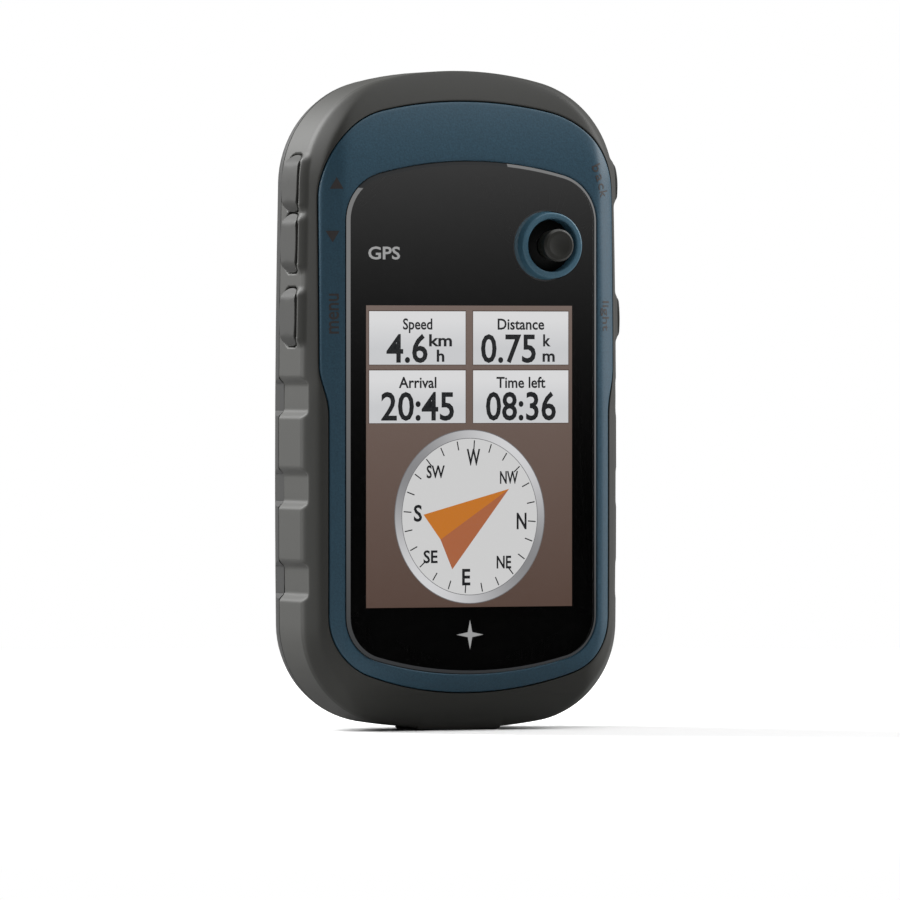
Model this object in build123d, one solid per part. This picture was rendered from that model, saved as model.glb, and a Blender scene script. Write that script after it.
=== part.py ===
from build123d import *
import math
import os

# Handheld GPS unit, in millimetres.
# X runs to the right seen from the front, Y from front to back, Z upward.
# "Depth" is always measured backward from the outer face of the display lens.

# ---- driving dimensions -------------------------------------------------
LENS_Y = -12.5            # position of the outer face of the lens
BODY_HALF = 27.0          # half width of the body without keys
BODY_TOP = 103.0
BODY_BOTTOM = 0.2         # the foot reaches down to Z 0
BOTTOM_R = 88.0
BOTTOM_CORNER = 15.5
BODY_SIDE = (2000.0, 40.0)  # radius and centre height of the faint side curve
TOP_R = 57.0
TOP_CORNER = 16.5
RIM_ROWS = (              # inset and depth of the sloped front rim
    (0, 14.0), (0, 5.2), (0.05, 4.85), (0.6, 3.95), (1.2, 3.0), (1.9, 2.1), (3.0, 1.3), (4.5, 0.3)
)
BEZEL_HALF = 25.1
BEZEL_WAIST = 23.85
BEZEL_ROWS = ((0, 9.0), (0, 2.2), (0.7, 1.55), (1.5, 0.95), (2.4, 0.42), (3.2, 0.15))
BROW_Z = 83.0             # above this the front curves back
BROW_R = 40.0
PART_DEPTH = 14.0         # parting line between rubber band and rear case
BACK_DEPTH = 26.5         # flat back
SPINE_DEPTH = 29.0        # outer face of the mounting spine
RUBBER = 2.0              # thickness of the rubber band
WALL = 1.2                # wall of the front frame
REAR_ROWS = ((0, 14.0), (0.1, 15.0), (0.4, 16.2), (0.95, 17.6), (5.6, 26.5))  # inset, depth

BEZEL_THICK = 1.2
LENS_THICK = 1.2
LENS_GAP = 0.15
PANEL_DEPTH = 1.5         # front face of the frame under the lens

DISPLAY_W = 35.3
DISPLAY_BOTTOM = 19.3
DISPLAY_TOP = 66.3
LCD_HALF = 18.6
LCD_BOTTOM = 17.0
LCD_TOP = 68.2
LCD_DEPTH = 1.55
LCD_THICK = 1.45

STICK_X = 13.0
STICK_Z = 75.7
STICK_PIVOT = 3.9         # depth of the tilt axes
STICK_PRESS = 0.35

KEY_PROUD = 0.85
KEY_SLOPE = 1.2           # sloped run at each end of a key pad
KEY_FRONT = 6.0           # depth range of the key pads
KEY_BACK = 12.2
KEY_MID = 8.75
KEY_CLEAR = 0.08
KEYS = {
    "zoom_in_key": (-1, 80.85, 89.7),
    "zoom_out_key": (-1, 71.4, 80.55),
    "menu_key": (-1, 60.0, 69.0),
    "back_key": (1, 82.0, 89.7),
    "light_key": (1, 60.6, 68.6),
}
GROOVE_CENTRES = (52.0, 37.9, 23.5)
GROOVE_HALF = 3.1
GROOVE_SLOPE = 1.0
GROOVE_DEEP = 0.95
GROOVE_FRONT = 3.9
GROOVE_BACK = 17.6        # the groove runs out on the sloping rear case

BOARD_DEPTH = 6.3
BOARD_THICK = 1.0
BOARD_BACK = BOARD_DEPTH + BOARD_THICK

BAY_HALF = 15.2
BAY_BOTTOM = 16.5
BAY_TOP = 70.5
BAY_FLOOR = 9.5
BAY_WALL = 1.2
CELL_R = 7.15
CELL_X = 7.45
CELL_DEPTH = 16.9

COVER_DEPTH = 24.3        # inner face of the battery cover
COVER_INSET = 6.4
COVER_TOP = 77.0
LOCK_Z = 12.0
LOCK_R = 4.4
RING_WIRE = 0.8
RING_DEPTH = 27.4
RING_HALF = 6.2

CAP_HALF = 9.5
CAP_BOTTOM = 79.2
HINGE_Z = 93.8
HINGE_DEPTH = 25.3
HINGE_R = 1.2
PORT_Z = 85.2

CASE_SCREWS = ((-17.4, 12.3), (17.4, 12.3), (-12.5, 90.0), (12.5, 90.0))
BOARD_SCREWS = ((-20.9, 45.0), (20.9, 45.0), (0.0, 95.5), (0.0, 10.5))


# ---- outline helpers ----------------------------------------------------
def at(face, depth):
    """Stand a drawn outline (X, Z) up at a depth behind the lens face."""
    return Plane.XZ.offset(-(LENS_Y + depth)) * face


def slab(face, front, back):
    return extrude(at(face, back), amount=back - front)


def loft_rows(outline, rows):
    """Body through insets of one outline; rows are (inset, depth)."""
    return loft([at(outline(inset), depth) for inset, depth in rows], ruled=True)


def shift(shape, depth):
    return Pos(0, depth, 0) * shape


def box(x0, x1, z0, z1, front, back):
    return Pos((x0 + x1) / 2, LENS_Y + (front + back) / 2, (z0 + z1) / 2) * Box(
        x1 - x0, back - front, z1 - z0
    )


def rod(x, z, radius, front, back):
    """Round bar along the depth axis."""
    return slab(Pos(x, z) * Circle(radius), front, back)


def toward(centre, point, radius):
    length = math.hypot(point[0] - centre[0], point[1] - centre[1])
    return (
        centre[0] + (point[0] - centre[0]) * radius / length,
        centre[1] + (point[1] - centre[1]) * radius / length,
    )


def corner_centre(half, side, end_z, end_r, corner, up):
    """Centre of a corner circle that touches the side and the end arc from inside."""
    if side is None:
        x = half - corner
        return (x, end_z + up * math.sqrt((end_r - corner) ** 2 - x**2))
    side_x = half - side[0]
    reach = side[0] - corner
    span = end_r - corner
    dz = end_z - side[1]
    distance = math.hypot(side_x, dz)
    along = (reach**2 - span**2 + distance**2) / (2 * distance)
    off = math.sqrt(reach**2 - along**2)
    base = (side_x - along * side_x / distance, side[1] + along * dz / distance)
    turn = (dz / distance * off, side_x / distance * off)
    options = [(base[0] + turn[0], base[1] + turn[1]), (base[0] - turn[0], base[1] - turn[1])]
    return max(options, key=lambda p: up * p[1])


def mid_arc(centre, radius, start, end):
    middle = ((start[0] + end[0]) / 2, (start[1] + end[1]) / 2)
    return ThreePointArc(start, toward(centre, middle, radius), end)


def pebble(half, top, bottom, side=None, waist=None):
    """Closed outline of tangent arcs; top and bottom are (z, arc radius, corner radius)."""
    top_c = (0, top[0] - top[1])
    low_c = (0, bottom[0] + bottom[1])
    low_half = waist[0] if waist else half
    tc = corner_centre(half, side, top_c[1], top[1], top[2], 1)
    bc = corner_centre(low_half, side, low_c[1], bottom[1], bottom[2], -1)
    a = toward(top_c, tc, top[1])
    d = toward(low_c, bc, bottom[1])
    if side is None:
        b = (half, tc[1])
        c = (low_half, bc[1])
    else:
        side_c = (half - side[0], side[1])
        b = toward(side_c, tc, side[0])
        c = toward(side_c, bc, side[0])
    edges = [ThreePointArc((-a[0], a[1]), (0, top[0]), a), mid_arc(tc, top[2], a, b)]
    if waist:
        high = (half, waist[1])
        low = (low_half, waist[2])
        edges += [Line(b, high), Spline(high, low, tangents=((0, -1), (0, -1))), Line(low, c)]
    elif side is None:
        edges.append(Line(b, c))
    else:
        edges.append(mid_arc(side_c, side[0], b, c))
    edges.append(mid_arc(bc, bottom[2], c, d))
    edges += [mirror(e, about=Plane.YZ) for e in edges[1:]]
    edges.append(ThreePointArc(d, (0, bottom[0]), (-d[0], d[1])))
    return make_face(edges)


def body(inset=0.0):
    return pebble(
        BODY_HALF - inset,
        (BODY_TOP - inset, TOP_R - inset, TOP_CORNER - inset),
        (BODY_BOTTOM + inset, BOTTOM_R - inset, BOTTOM_CORNER - inset),
        side=(BODY_SIDE[0] - inset, BODY_SIDE[1]),
    )


def bezel_full(inset=0.0, waist=None):
    return pebble(
        BEZEL_HALF - inset,
        (98.2 - inset, 65.0 - inset, 14.0 - inset),
        (5.9 + inset, 54.0 - inset, 9.5 - inset),
        waist=waist,
    )


def bezel_outline(inset=0.0):
    return bezel_full(inset, waist=(BEZEL_WAIST - inset, 56.9, 49.5))


def lens_outline(inset=0.0):
    return pebble(
        21.3 - inset, (88.72 - inset, 61.0 - inset, 7.5 - inset), (8.95 + inset, 60.0 - inset, 7.0 - inset)
    )


def cover_outline(inset=0.0):
    """Battery cover: follows the body and ends in a shallow arc at the top."""
    head = Pos(0, COVER_TOP - 60.0 - inset) * Circle(60.0)
    return body(COVER_INSET + inset) & head


def bowed(front, chin):
    """Space behind the front face seen from the side: flat, curving back above and below.

    chin is (arc radius, Z where the arc meets the flat, Z where it ends, depth at Z 0)."""
    def back(radius, z, start):
        return LENS_Y + front + radius - math.sqrt(radius**2 - (z - start) ** 2)

    def curve(radius, start, end):
        return ThreePointArc(*[(back(radius, z, start), z) for z in (start, (start + end) / 2, end)])

    top = BODY_TOP + 2.0
    chin_r, chin_start, chin_end, toe = chin
    brow = (back(BROW_R, top, BROW_Z), top)
    jaw = (back(chin_r, chin_end, chin_start), chin_end)
    flat = LENS_Y + front
    edges = [
        Line((flat, chin_start), (flat, BROW_Z)),
        curve(BROW_R, BROW_Z, top),
        Polyline(brow, (30, top), (30, 0), (LENS_Y + toe, 0), jaw),
        curve(chin_r, chin_start, chin_end),
    ]
    return extrude(Plane.YZ * make_face(edges), amount=40, both=True)


# ---- main envelopes -----------------------------------------------------
def front_hull():
    """Outer shape of the rubber band with its sloped front rim."""
    hull = loft_rows(body, RIM_ROWS)
    return hull & bowed(0.3, (12.0, 13.0, 5.9, 5.4))


def bezel_hull():
    hull = loft_rows(bezel_full, BEZEL_ROWS) & slab(bezel_outline(), -1, 9.0)
    return hull & bowed(LENS_GAP, (9.0, 12.5, 5.0, 5.4))


def rear_hull():
    """Outer shape of the rear case, battery cover closed."""
    hull = loft_rows(body, REAR_ROWS)
    crease = hull.edges().filter_by(lambda e: abs(e.center().Y - LENS_Y - BACK_DEPTH) < 0.01)
    return fillet(crease, 4.5)


FRONT = front_hull()
BEZEL = bezel_hull()
REAR = rear_hull()
UNDER_BEZEL = shift(BEZEL, BEZEL_THICK)
FRAME_HULL = (shift(FRONT, 1.5) & slab(body(RUBBER), -1, PART_DEPTH)) - BEZEL
FRAME_HULL += UNDER_BEZEL & slab(body(RUBBER), -1, 9.0)
FRAME_HULL += UNDER_BEZEL & slab(bezel_outline(), -1, 5.5)


# ---- keys ---------------------------------------------------------------
def key_block(side, low, high, front, back, grow=0.0):
    """Rounded bar running inward from the side, the shape of a key pad."""
    height = high - low + 2 * grow
    depth = back - front + 2 * grow
    centre = ((front + back) / 2 + LENS_Y, (low + high) / 2)
    shape = Pos(*centre) * RectangleRounded(depth, height, 2.2 + grow)
    return extrude(Plane.YZ.offset(side * 20.0) * shape, amount=side * 12.0)


def wall_x(z):
    """Half width of the body at a height on the straight side or the upper corner."""
    corner = corner_centre(BODY_HALF, BODY_SIDE, BODY_TOP - TOP_R, TOP_R, TOP_CORNER, 1)
    if z > corner[1]:
        return corner[0] + math.sqrt(TOP_CORNER**2 - (z - corner[1]) ** 2)
    return BODY_HALF - (z - BODY_SIDE[1]) ** 2 / (2 * BODY_SIDE[0])


def key(side, low, high):
    """Pad in the rubber, post through the frame and a flange in front of its switch."""
    skin = slab(body(-KEY_PROUD), KEY_FRONT - 1, KEY_BACK + 1) - slab(body(1.4), KEY_FRONT - 2, KEY_BACK + 2)
    pad = key_block(side, low, high, KEY_FRONT, KEY_BACK) & skin
    ends = Polyline(
        (side * 20, low),
        (side * (wall_x(low) + 0.05), low),
        (side * (wall_x(low + KEY_SLOPE) + 1.0), low + KEY_SLOPE),
        (side * (wall_x(high - KEY_SLOPE) + 1.0), high - KEY_SLOPE),
        (side * (wall_x(high) + 0.05), high),
        (side * 20, high),
        close=True,
    )
    pad &= slab(make_face(ends), KEY_FRONT - 1, KEY_BACK + 1)
    face = pad.faces().filter_by(lambda f: f.center().X * side > 26.6).sort_by(lambda f: f.area)[-1]
    pad = fillet(face.edges(), 0.35)
    middle = (low + high) / 2
    post = box(22.2, 25.9, middle - 1.6, middle + 1.6, KEY_MID - 0.85, KEY_MID + 0.85)
    flange = box(22.2, 22.9, middle - 2.2, middle + 2.2, KEY_MID - 1.2, KEY_MID + 1.4)
    inner = post + flange
    if side < 0:
        inner = mirror(inner, about=Plane.YZ)
    return pad + inner


def key_windows():
    """Holes for the key posts through the frame wall."""
    cuts = []
    for side, low, high in KEYS.values():
        middle = (low + high) / 2
        cut = box(22.5, 26.5, middle - 1.68, middle + 1.68, KEY_MID - 0.93, KEY_MID + 0.93)
        cuts.append(cut if side > 0 else mirror(cut, about=Plane.YZ))
    return cuts


# ---- outer shell --------------------------------------------------------
def groove(side, centre, front, back):
    """One grip groove: flat bottom and sloped ends."""
    x = BODY_HALF + 0.1
    points = [
        (x, centre - GROOVE_HALF),
        (x, centre + GROOVE_HALF),
        (BODY_HALF - GROOVE_DEEP, centre + GROOVE_HALF - GROOVE_SLOPE),
        (BODY_HALF - GROOVE_DEEP, centre - GROOVE_HALF + GROOVE_SLOPE),
    ]
    cut = slab(make_face(Polyline(*points, close=True)), front, back)
    return cut if side > 0 else mirror(cut, about=Plane.YZ)


def foot(front, back):
    """Oval standing pad under the body; one part on the band, the rest on the rear case."""
    oval = Pos(0, LENS_Y + 10.2) * Ellipse(7.8, 7.6)
    block = extrude(oval, amount=6.0)
    return block & box(-10, 10, -1, 7, front, back)


def side_grip():
    band = FRONT + (foot(4.8, PART_DEPTH) & box(-10, 10, -1, 1.5, 0, 20))
    band -= FRAME_HULL
    band -= slab(bezel_outline(), -2, 5.5)
    for side in (-1, 1):
        for centre in GROOVE_CENTRES:
            band -= groove(side, centre, GROOVE_FRONT, PART_DEPTH + 1)
    for side, low, high in KEYS.values():
        band -= key_block(side, low, high, KEY_FRONT, KEY_BACK, KEY_CLEAR)
    return band


def front_bezel():
    plate = BEZEL - shift(BEZEL, BEZEL_THICK)
    plate -= slab(bezel_outline(-1.0), 5.0, 12.0)
    return plate - slab(lens_outline(-LENS_GAP), -2, 4.0)


def stick_hole(radius, front, back):
    return rod(STICK_X, STICK_Z, radius, front, back)


def display_lens():
    plate = slab(lens_outline(), 0, LENS_THICK)
    rim = plate.faces().sort_by(Axis.Y)[0].edges()
    plate = chamfer(rim, 0.5)
    return plate - stick_hole(5.42, -1, 3)


def display_window(front, back):
    return box(-DISPLAY_W / 2, DISPLAY_W / 2, DISPLAY_BOTTOM, DISPLAY_TOP, front, back)


def lens_gasket():
    sheet = slab(lens_outline(0.3), LENS_THICK, PANEL_DEPTH)
    sheet -= stick_hole(5.6, 0, 3)
    return sheet - display_window(0, 3)


def front_frame():
    frame = FRAME_HULL - (shift(FRAME_HULL, WALL) & slab(body(RUBBER + WALL), -1, PART_DEPTH + 2))
    frame -= slab(body(RUBBER + WALL), BOARD_DEPTH - 0.3, PART_DEPTH + 1)
    frame -= slab(lens_outline(-LENS_GAP), -1, PANEL_DEPTH)
    for x, z in CASE_SCREWS:
        frame += rod(x, z, 1.9, 2.4, PART_DEPTH) & FRAME_HULL
    for x, z in BOARD_SCREWS:
        frame += rod(x, z, 1.5, 2.4, BOARD_DEPTH) & FRAME_HULL
    frame -= box(-LCD_HALF - 0.2, LCD_HALF + 0.2, LCD_BOTTOM - 0.2, LCD_TOP + 0.2, 0, BOARD_DEPTH + 0.1)
    frame -= box(2.0, 16.0, 9.0, LCD_BOTTOM, 1.9, BOARD_DEPTH)
    frame -= stick_hole(3.4, 0, 5)
    for x, z in CASE_SCREWS:
        frame -= rod(x, z, 0.8, 8.0, PART_DEPTH + 1)
    for x, z in BOARD_SCREWS:
        frame -= rod(x, z, 0.7, 5.0, PART_DEPTH)
    for cut in key_windows():
        frame -= cut
    return frame


# ---- rear case and battery bay ------------------------------------------
def port_cover_recess(clear):
    half = CAP_HALF + clear
    radius = HINGE_R + clear / 2
    plate = box(-half, half, CAP_BOTTOM - clear, HINGE_Z, HINGE_DEPTH - 0.4, 28)
    plate = fillet(plate.edges().filter_by(Axis.Y).sort_by(Axis.Z)[:2], 2.5 + clear)
    plate += Pos(0, LENS_Y + HINGE_DEPTH, HINGE_Z) * Rot(0, 90, 0) * Cylinder(radius, 2 * half)
    if clear:
        plate += box(-half, half, HINGE_Z - 1, HINGE_Z + radius, HINGE_DEPTH, 28)
    return plate


def rear_case():
    case = REAR + foot(PART_DEPTH, 18.0)
    cavity = loft_rows(body, ((RUBBER + WALL, PART_DEPTH - 1), (RUBBER + WALL, PART_DEPTH), (6.0, 22.8)))
    case -= cavity
    bay = box(
        -BAY_HALF - BAY_WALL, BAY_HALF + BAY_WALL, BAY_BOTTOM - BAY_WALL, BAY_TOP + BAY_WALL, 8.7, COVER_DEPTH
    )
    case += bay
    case += box(-8.2, 8.2, 5.5, 15.5, 20.2, COVER_DEPTH) & REAR
    case += box(-8.0, 8.0, 78.9, 91.5, 14.8, BACK_DEPTH)
    for side in (-1, 1):
        for centre in GROOVE_CENTRES:
            case -= groove(side, centre, PART_DEPTH - 1, GROOVE_BACK)
    for x, z in CASE_SCREWS:
        case += rod(x, z, 2.3, PART_DEPTH, 23.0) & REAR
    case -= box(-BAY_HALF, BAY_HALF, BAY_BOTTOM, BAY_TOP, BAY_FLOOR, 30)
    case -= box(-8.0, 8.0, 28.0, 50.0, 8, 10)
    case -= slab(cover_outline(-0.1), COVER_DEPTH, 30)
    case -= box(-6.6, 6.6, 7.3, 15.1, 21.2, COVER_DEPTH + 1)
    case -= port_cover_recess(0.12)
    case -= box(-6.6, 6.6, 80.4, 90.0, 16.0, 30)
    case -= box(-3.95, 3.95, PORT_Z - 2.1, PORT_Z + 2.1, 14, 17)
    case -= slab(body(2.2), PART_DEPTH, PART_DEPTH + 0.6) - slab(body(2.8), PART_DEPTH, PART_DEPTH + 0.6)
    case -= slab(cover_seal_path(-0.8), COVER_DEPTH - 0.7, COVER_DEPTH) - slab(
        cover_seal_path(0), COVER_DEPTH - 0.7, COVER_DEPTH
    )
    for x, z in CASE_SCREWS:
        case -= rod(x, z, 0.85, PART_DEPTH - 1, 30)
        case -= rod(x, z, 1.6, 21.0, 30)
    return case


def case_gasket():
    return slab(body(2.2), PART_DEPTH, PART_DEPTH + 0.6) - slab(body(2.8), PART_DEPTH - 1, PART_DEPTH + 2)


def cover_seal_path(inset):
    """Rounded rectangle round the mouth of the battery bay."""
    middle = (BAY_BOTTOM + BAY_TOP) / 2
    height = BAY_TOP - BAY_BOTTOM + 0.8 - 2 * inset
    return Pos(0, middle) * RectangleRounded(2 * BAY_HALF + 0.8 - 2 * inset, height, 1.2 - inset)


def cover_gasket():
    ring = slab(cover_seal_path(-0.75), COVER_DEPTH - 0.7, COVER_DEPTH)
    return ring - slab(cover_seal_path(0.0), COVER_DEPTH - 2, COVER_DEPTH + 1)


def screws(places, head_depth, head_r, shank_r, tip_depth):
    """Pan head screws along the depth axis, each with a cross recess."""
    group = []
    for x, z in places:
        one = rod(x, z, head_r, head_depth, head_depth + 1.1) + rod(x, z, shank_r, tip_depth, head_depth)
        one -= box(x - 0.15, x + 0.15, z - 0.8, z + 0.8, head_depth + 0.6, head_depth + 2)
        one -= box(x - 0.8, x + 0.8, z - 0.15, z + 0.15, head_depth + 0.6, head_depth + 2)
        group.append(one)
    return Compound(children=group)


# ---- battery cover, lock and ring ---------------------------------------
def spine():
    neck = slab(Pos(0, 51) * SlotOverall(46, 6.4, 90), BACK_DEPTH - 0.5, 27.7)
    head = slab(Pos(0, 51) * SlotOverall(49.2, 9.6, 90), 27.6, SPINE_DEPTH)
    head = fillet(head.faces().sort_by(Axis.Y)[-1].edges(), 0.4)
    return neck + head


def battery_cover():
    plate = (REAR & slab(cover_outline(), COVER_DEPTH, 30)) + spine()
    plate -= rod(0, LOCK_Z, LOCK_R + 0.05, 25.2, 30)
    plate -= rod(0, LOCK_Z, 2.5, 24, 26)
    plate -= rod(0, LOCK_Z, 3.3, 24.6, 26)
    return plate


def cover_lock():
    """Quarter turn lock: drum, shaft and a cross hole for the ring."""
    drum = rod(0, LOCK_Z, LOCK_R, 25.2, 28.7)
    drum = fillet(drum.faces().sort_by(Axis.Y)[-1].edges(), 0.5)
    drum += rod(0, LOCK_Z, 2.45, 21.8, 25.2)
    hole = Pos(0, LENS_Y + RING_DEPTH, LOCK_Z) * Rot(0, 90, 0) * Cylinder(RING_WIRE + 0.05, 20)
    drum -= hole
    flats = box(-3, 3, LOCK_Z - 3, LOCK_Z + 3, 21.7, 23.6)
    flats -= box(-1.9, 1.9, LOCK_Z - 3, LOCK_Z + 3, 21.7, 23.6)
    return drum - flats


def lock_cam():
    arm = box(-1.8, 1.8, LOCK_Z - 5, LOCK_Z, 22.2, 23.6) & rod(0, LOCK_Z, 4.6, 22.2, 23.6)
    hub = rod(0, LOCK_Z, 2.9, 22.2, 23.6) + arm
    shaft = rod(0, LOCK_Z, 2.45, 22, 24) & box(-1.9, 1.9, 0, 20, 22, 24)
    return hub - shaft


def lock_seal():
    return Pos(0, LENS_Y + 24.89, LOCK_Z) * Rot(90, 0, 0) * Torus(2.9, 0.28)


def d_ring():
    """Wire ring: straight pivot bar, two arms and a half circle."""
    straight = 7.0
    top = LOCK_Z + straight
    path = [
        Line((-RING_HALF, LOCK_Z), (RING_HALF, LOCK_Z)),
        Line((RING_HALF, LOCK_Z), (RING_HALF, top)),
        ThreePointArc((RING_HALF, top), (0, top + RING_HALF), (-RING_HALF, top)),
        Line((-RING_HALF, top), (-RING_HALF, LOCK_Z)),
    ]
    face_plane = Plane.XZ.offset(-(LENS_Y + RING_DEPTH))
    outline = [face_plane * edge for edge in path]
    ring = None
    for edge in outline:
        tube = sweep(Plane(edge @ 0, z_dir=edge % 0) * Circle(RING_WIRE), edge)
        ring = tube if ring is None else ring + tube
    for x in (-RING_HALF, RING_HALF):
        ring += Pos(x, LENS_Y + RING_DEPTH, LOCK_Z) * Sphere(RING_WIRE)
    return ring


def weather_cap():
    cap = port_cover_recess(0.0) & box(-12, 12, 70, 100, 20, BACK_DEPTH)
    plug = box(-6.3, 6.3, 81.0, 89.5, 22.6, HINGE_DEPTH)
    plug = fillet(plug.edges().filter_by(Axis.Y), 1.2)
    mouth = box(-4.4, 4.4, PORT_Z - 2.6, PORT_Z + 2.6, 22.0, 23.6)
    lip = box(-4.0, 4.0, CAP_BOTTOM + 0.6, CAP_BOTTOM + 1.4, BACK_DEPTH - 0.4, BACK_DEPTH + 0.5)
    return cap + plug - mouth + lip


# ---- thumb stick --------------------------------------------------------
def turned(points):
    """Solid of revolution about the stick axis; points are (radius, depth)."""
    face = make_face(Polyline(*[(r, -d) for r, d in points], close=True))
    solid = revolve(Plane.XZ * face, Axis.Z)
    return Pos(STICK_X, LENS_Y, STICK_Z) * Rot(90, 0, 0) * solid


def joystick_ring():
    ring = turned([(4.13, 1.5), (5.35, 1.5), (5.12, -1.4), (4.13, -1.4)])
    return fillet(ring.faces().sort_by(Axis.Y)[0].edges(), 0.3)


def joystick_boot():
    return turned([(3.45, 1.5), (4.05, 1.5), (4.05, 0.9), (2.1, 0.1), (1.9, 0.3), (1.9, 0.7), (3.45, 1.2)])


def joystick_base():
    half = 4.7
    block = box(STICK_X - half, STICK_X + half, STICK_Z - half, STICK_Z + half, 2.85, BOARD_DEPTH)
    block -= stick_hole(3.6, 2, 5.7)
    pins = Pos(STICK_X, LENS_Y + STICK_PIVOT, STICK_Z) * Rot(0, 90, 0) * Cylinder(0.45, 8.4)
    return block - pins


def joystick_gimbal():
    ring = stick_hole(3.3, 3.4, 4.4) - stick_hole(2.35, 3, 5)
    axle = Pos(STICK_X, LENS_Y + STICK_PIVOT, STICK_Z) * Rot(0, 90, 0) * Cylinder(0.4, 8.0)
    ring += axle - stick_hole(2.8, 3, 5)
    holes = Pos(STICK_X, LENS_Y + STICK_PIVOT, STICK_Z) * Cylinder(0.4, 8.0)
    return ring - holes


def joystick_sleeve():
    tube = stick_hole(1.9, 3.2, 4.6)
    tube += Pos(STICK_X, LENS_Y + STICK_PIVOT, STICK_Z) * Cylinder(0.35, 6.2)
    return tube - stick_hole(1.1, 3, 5)


def joystick_stem():
    return stick_hole(1.05, -2.4, 5.0) + stick_hole(1.6, 4.75, 5.1)


def joystick_cap():
    cap = turned([(0, -4.0), (2.2, -4.0), (2.54, -3.66), (2.54, -2.9), (2.3, -0.8), (0, -0.8)])
    dish = Pos(STICK_X, LENS_Y - 4.0 - 7.3, STICK_Z) * Sphere(7.5)
    cap -= dish
    return cap - stick_hole(1.05, -2.4, 0)


# ---- electronics --------------------------------------------------------
def lcd_panel():
    return box(-LCD_HALF, LCD_HALF, LCD_BOTTOM, LCD_TOP, LCD_DEPTH, LCD_DEPTH + LCD_THICK)


def lcd_backlight():
    tray = box(-LCD_HALF, LCD_HALF, LCD_BOTTOM, LCD_TOP, LCD_DEPTH + LCD_THICK, BOARD_DEPTH)
    return fillet(tray.edges().filter_by(Axis.Y), 0.8)


def lcd_flex():
    """Ribbon from the lower edge of the glass down and round to its connector."""
    thick = 0.15
    y = LENS_Y + 2.3
    inner = [
        Line((y, LCD_BOTTOM), (y, 13.5)),
        ThreePointArc((y, 13.5), (y + 1.5, 12.0), (y + 3.0, 13.5)),
    ]
    outer = [
        Line((y - thick, 13.5), (y - thick, LCD_BOTTOM)),
        ThreePointArc((y + 3.0 + thick, 13.5), (y + 1.5, 12.0 - thick), (y - thick, 13.5)),
    ]
    ends = [Line((y - thick, LCD_BOTTOM), (y, LCD_BOTTOM)), Line((y + 3.0, 13.5), (y + 3.0 + thick, 13.5))]
    face = make_face(inner + outer + ends)
    return Pos(9.0, 0, 0) * extrude(Plane.YZ * face, amount=5.5, both=True)


def lcd_connector():
    return box(3.0, 15.0, 13.5, 16.5, 5.3, BOARD_DEPTH)


def main_board():
    board = slab(body(3.9), BOARD_DEPTH, BOARD_BACK)
    for x, z in CASE_SCREWS:
        board -= rod(x, z, 2.1, 5, 9)
    for x, z in BOARD_SCREWS:
        board -= rod(x, z, 0.75, 5, 9)
    return board


def key_switches():
    """Side-acting switches soldered along the edges of the board."""
    group = []
    for side, low, high in KEYS.values():
        middle = (low + high) / 2
        case = box(18.6, 20.9, middle - 2.2, middle + 2.2, BOARD_BACK, BOARD_BACK + 2.4)
        case += box(20.9, 21.65, middle - 0.9, middle + 0.9, KEY_MID - 0.6, KEY_MID + 0.6)
        group.append(case if side > 0 else mirror(case, about=Plane.YZ))
    return Compound(children=group)


def gps_antenna():
    patch = box(-10.0, 5.0, 76.5, 91.5, 4.4, BOARD_DEPTH)
    return chamfer(patch.edges().filter_by(Axis.Y), 0.8)


def rf_shield():
    can = box(-17.0, -6.0, 72.8, 86.0, BOARD_BACK, BOARD_BACK + 1.5)
    return fillet(can.faces().sort_by(Axis.Y)[-1].edges(), 0.3)


def usb_receptacle():
    shell = box(-3.85, 3.85, PORT_Z - 2.0, PORT_Z + 2.0, BOARD_BACK, 16.6)
    shell = fillet(shell.edges().filter_by(Axis.Y), 0.5)
    shell -= box(-3.45, 3.45, PORT_Z - 1.6, PORT_Z + 1.6, 10.0, 17.0)
    return shell + box(-2.6, 2.6, PORT_Z - 0.4, PORT_Z + 0.4, 9.9, 15.6)


def sd_card_holder():
    holder = box(-7.2, 7.2, 30.0, 45.0, BOARD_BACK, BOARD_BACK + 1.35)
    return holder - box(-5.6, 5.6, 31.0, 46.0, BOARD_BACK + 0.25, BOARD_BACK + 1.15)


def sd_card():
    card = box(-5.5, 5.5, 31.2, 46.2, BOARD_BACK + 0.3, BOARD_BACK + 1.05)
    notch = box(4.6, 6.0, 31.0, 37.0, BOARD_DEPTH, 9.0)
    return card - notch


def beeper():
    block = box(9.0, 17.0, 73.0, 81.0, BOARD_BACK, BOARD_BACK + 2.0)
    block = fillet(block.edges().filter_by(Axis.Y), 1.0)
    return block - rod(13.0, 77.0, 1.0, 8.6, 10.0)


def backup_cell():
    return rod(-4.5, 94.0, 2.4, BOARD_BACK, BOARD_BACK + 1.4)


# ---- batteries ----------------------------------------------------------
def aa_cell(x, bottom, up):
    """AA cell 50.5 long with its button at the upper or lower end."""
    can_length = 49.2
    standing = (Align.CENTER, Align.CENTER, Align.MIN)
    can = Pos(x, LENS_Y + CELL_DEPTH, bottom) * Cylinder(CELL_R, can_length, align=standing)
    can = fillet(can.edges().filter_by(GeomType.CIRCLE), 0.5)
    button = Pos(x, LENS_Y + CELL_DEPTH, bottom + can_length) * Cylinder(2.6, 1.3, align=standing)
    cell = can + fillet(button.faces().sort_by(Axis.Z)[-1].edges(), 0.3)
    if up:
        return cell
    flipped = Pos(x, LENS_Y + CELL_DEPTH, 0) * Rot(0, 180, 0) * Pos(-x, -LENS_Y - CELL_DEPTH, 0) * cell
    return Pos(0, 0, 2 * bottom + 50.5) * flipped


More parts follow.
